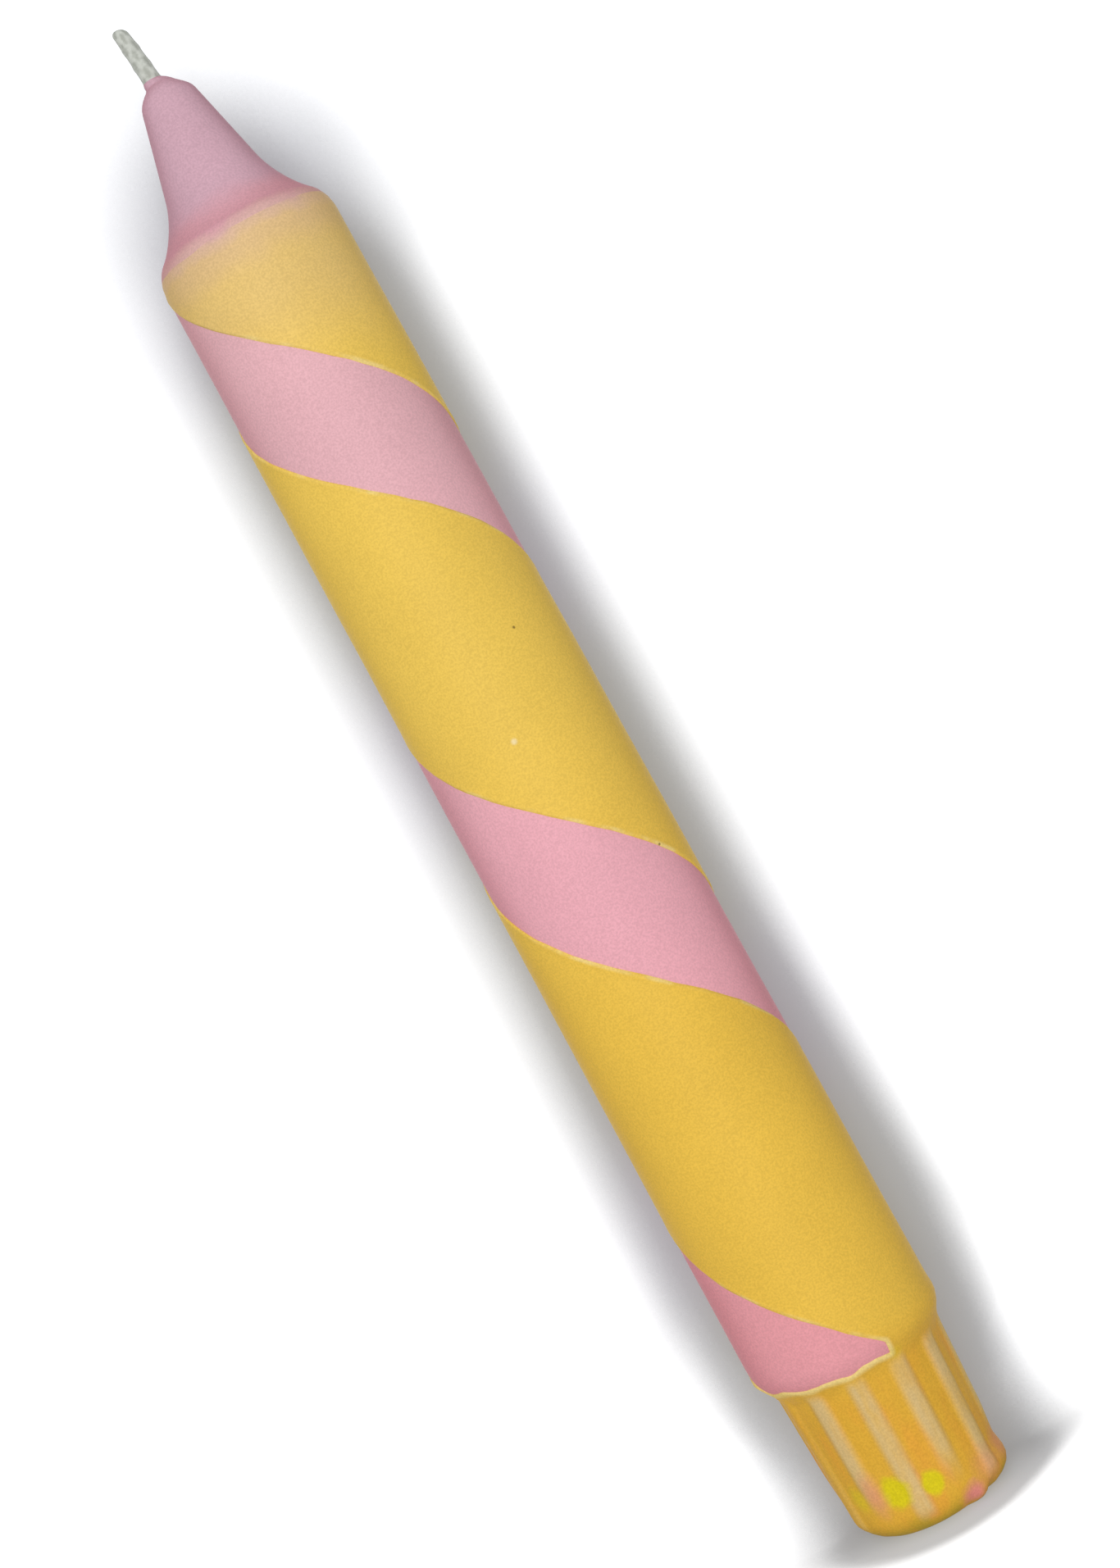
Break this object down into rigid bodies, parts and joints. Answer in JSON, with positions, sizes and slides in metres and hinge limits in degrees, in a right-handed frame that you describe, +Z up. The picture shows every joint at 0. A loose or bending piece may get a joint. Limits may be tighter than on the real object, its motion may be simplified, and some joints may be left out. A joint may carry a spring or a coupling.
{
  "type": "taper candle",
  "caption": "Pink taper candle with a thin yellow dipped coat, one bare helical band, a slim flared nose, a cotton wick and a ribbed tapering foot that fits a candle holder.",
  "frame": {"origin": "centre of the base, where the candle stands on its foot", "axes": "+Z up along the candle's axis from the foot to the wick; -Y is the side that faces the viewer, +X to the viewer's right"},
  "size_m": [0.0229, 0.0228, 0.1871],
  "materials": {
    "pink_wax": "soft matte pink candle wax",
    "yellow_wax": "soft matte yellow dipping wax",
    "wick_cotton": "braided, waxed cotton"
  },
  "bodies": {
    "root": {"wax_core": "pink_wax", "overdip": "yellow_wax", "wick": "wick_cotton"}
  },
  "joints": []
}
